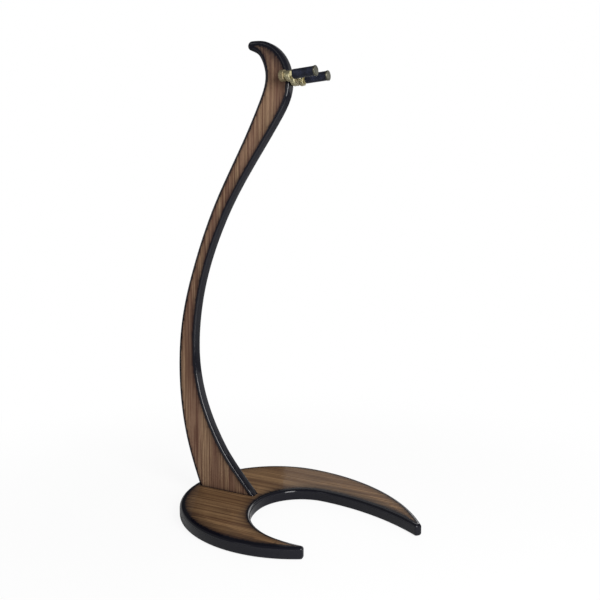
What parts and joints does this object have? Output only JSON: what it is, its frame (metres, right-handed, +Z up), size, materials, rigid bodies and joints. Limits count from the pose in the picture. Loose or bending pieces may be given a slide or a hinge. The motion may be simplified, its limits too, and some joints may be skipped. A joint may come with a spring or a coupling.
{
  "type": "guitar stand",
  "caption": "Floor-standing guitar hanger: a swan-neck wooden post on a crescent base, with a swivelling brass yoke whose padded arms carry a guitar by its headstock.",
  "frame": {"origin": "on the floor, in the middle of the stand's footprint", "axes": "+Z up, -Y towards the guitar, +X to the right of someone who faces the stand from the guitar's side"},
  "size_m": [0.5068, 0.6701, 1.168],
  "materials": {
    "post_wood": "high-gloss lacquer, dark burst along the edges",
    "base_wood": "high-gloss lacquer, dark burst along the edges",
    "dowel_wood": "plain beech",
    "fixing_steel": "zinc plated",
    "insert_brass": "plain turned",
    "foot_rubber": "matt black",
    "yoke_brass": "aged, satin",
    "knob_brass": "aged, fluted",
    "locknut_brass": "aged, satin",
    "cap_brass": "aged, turned",
    "rod_steel": "threaded",
    "sleeve_rubber": "smooth blue-black",
    "washer_plastic": "natural nylon"
  },
  "bodies": {
    "stand": {"base": "base_wood", "post": "post_wood", "post_bolts": "fixing_steel", "post_washers": "fixing_steel", "post_inserts": "insert_brass", "post_dowels": "dowel_wood", "foot_screws": "fixing_steel", "yoke_insert": "insert_brass", "yoke_shaft": "rod_steel", "thrust_washer_rear": "washer_plastic", "thrust_washer_front": "washer_plastic", "yoke_nut": "yoke_brass", "foot_left_tip": "foot_rubber", "foot_left": "foot_rubber", "foot_back": "foot_rubber", "foot_right": "foot_rubber", "foot_right_tip": "foot_rubber"},
    "yoke": {"yoke_bar": "yoke_brass", "arm_knob_left": "knob_brass", "arm_knob_right": "knob_brass", "arm_locknut_left": "locknut_brass", "arm_locknut_right": "locknut_brass", "arm_rod_left": "rod_steel", "arm_rod_right": "rod_steel", "arm_sleeve_left": "sleeve_rubber", "arm_sleeve_right": "sleeve_rubber", "arm_cap_left": "cap_brass", "arm_cap_right": "cap_brass"}
  },
  "joints": [
    {"name": "yoke_swivel", "type": "hinge", "parent": "stand", "child": "yoke", "pos_m": [0.00439, -0.00421, 1.0705], "axis": [0, -0.9991, 0.0419], "range_deg": [-22, 22]}
  ]
}
